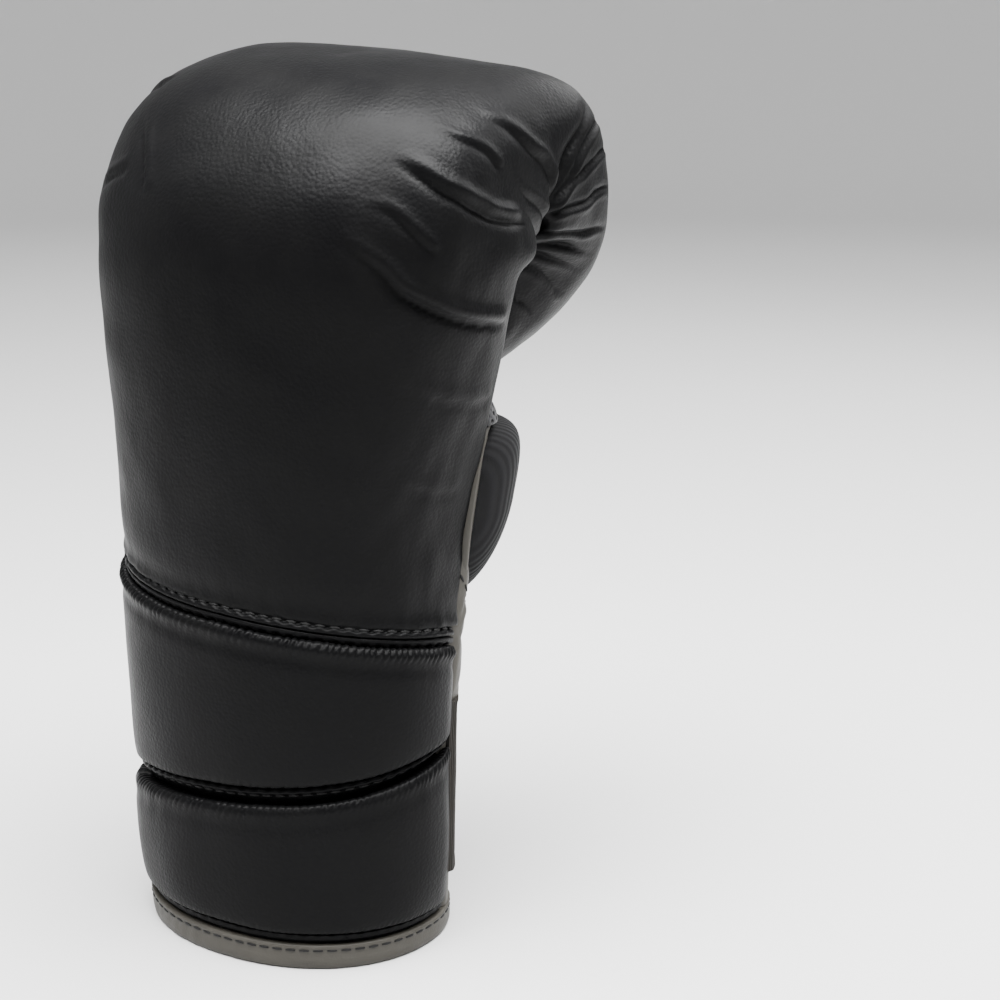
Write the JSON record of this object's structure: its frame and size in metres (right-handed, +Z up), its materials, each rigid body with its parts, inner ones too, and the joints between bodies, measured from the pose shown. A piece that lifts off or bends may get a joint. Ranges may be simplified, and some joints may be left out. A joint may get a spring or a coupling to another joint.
{
  "type": "punching glove",
  "caption": "Left-hand padded bag mitt: padded back rolled over the fingers, two wrist bands, grey palm leather with a slit, thumb stall, mesh panel, elastic strap with a tab.",
  "frame": {"origin": "middle of the glove's outline seen from above, on the ground under its hem", "axes": "+Z up from the hem to the knuckles, +X towards the thumb's side, -Y towards the back of the hand and +Y towards the palm"},
  "size_m": [0.1402, 0.155, 0.2867],
  "materials": {
    "black_leather": "satin",
    "grey_leather": "satin",
    "elastic": "matte",
    "loop_fabric": "matte",
    "jersey": "matte",
    "mesh": "matte"
  },
  "bodies": {
    "root": {"back_pad": "black_leather", "upper_band": "black_leather", "lower_band": "black_leather", "upper_welt": "black_leather", "lower_welt": "black_leather", "hem_piping": "black_leather", "hem_binding": "grey_leather", "palm_panel": "grey_leather", "thumb_binding": "grey_leather", "finger_gusset_thumb": "grey_leather", "finger_gusset_little": "grey_leather", "strap_tab": "black_leather", "strap_elastic": "elastic", "loop_patch": "loop_fabric", "thumb_stall": "jersey", "mesh_panel": "mesh"}
  },
  "joints": []
}
